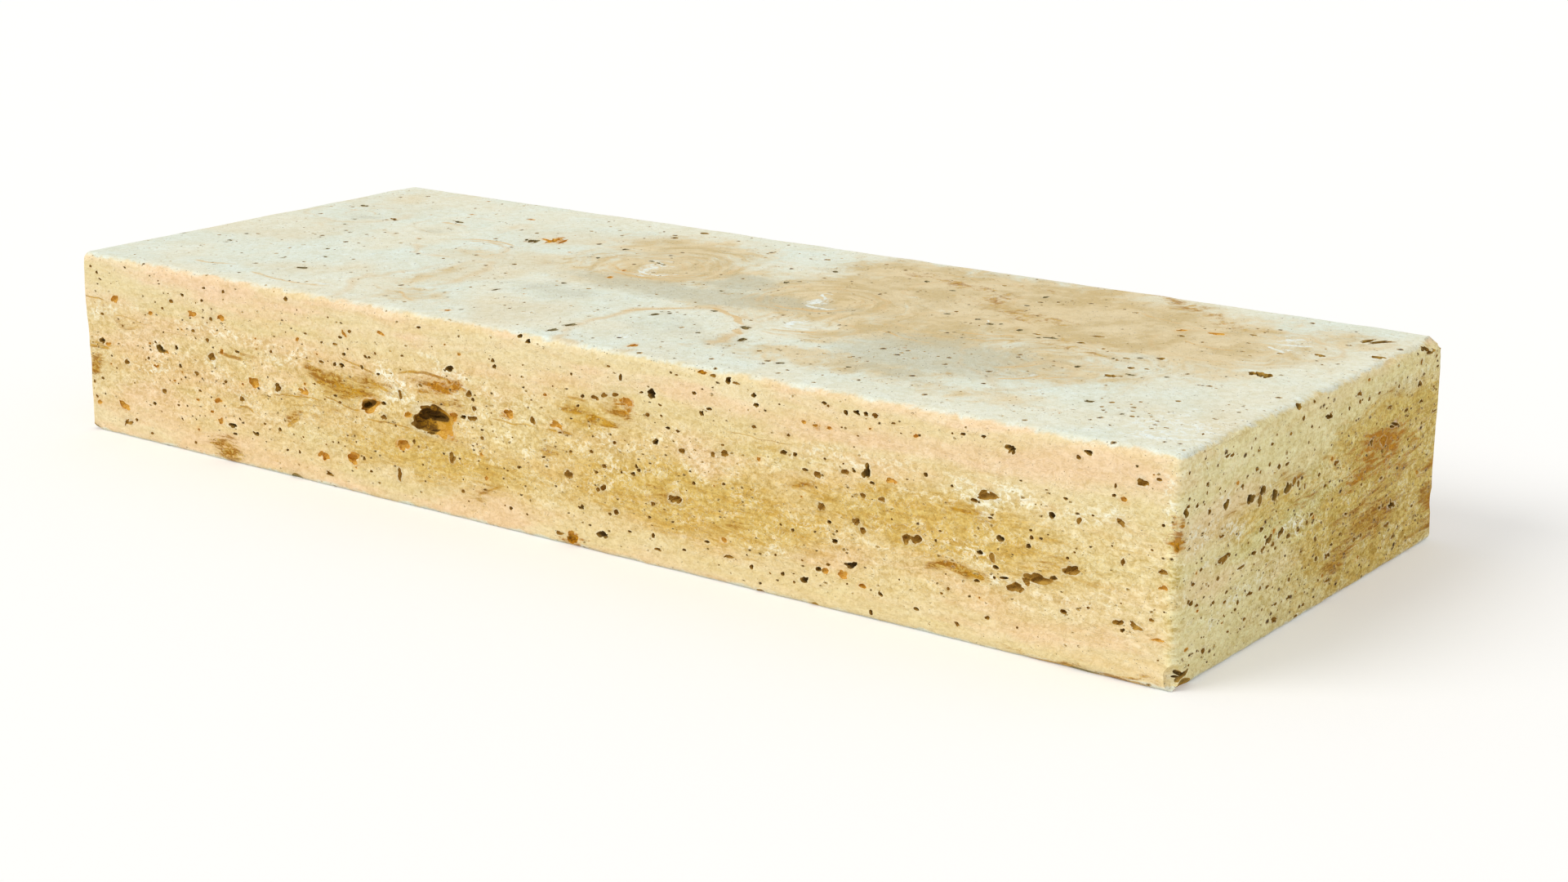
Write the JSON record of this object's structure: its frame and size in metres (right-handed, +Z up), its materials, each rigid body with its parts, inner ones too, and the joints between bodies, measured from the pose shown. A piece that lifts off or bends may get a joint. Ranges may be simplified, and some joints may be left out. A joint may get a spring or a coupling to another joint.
{
  "type": "travertine block step",
  "caption": "Solid travertine block step, sawn flat, with tumbled worn arrises, open vugs and small spalls; lies on its bed",
  "frame": {"origin": "middle of the bed, the face that the step lies on", "axes": "+X along the step, +Y from the riser to the back, +Z up from the bed to the tread"},
  "size_m": [1, 0.38, 0.148],
  "materials": {
    "travertine": "matte"
  },
  "bodies": {
    "root": {"block_step": "travertine"}
  },
  "joints": []
}
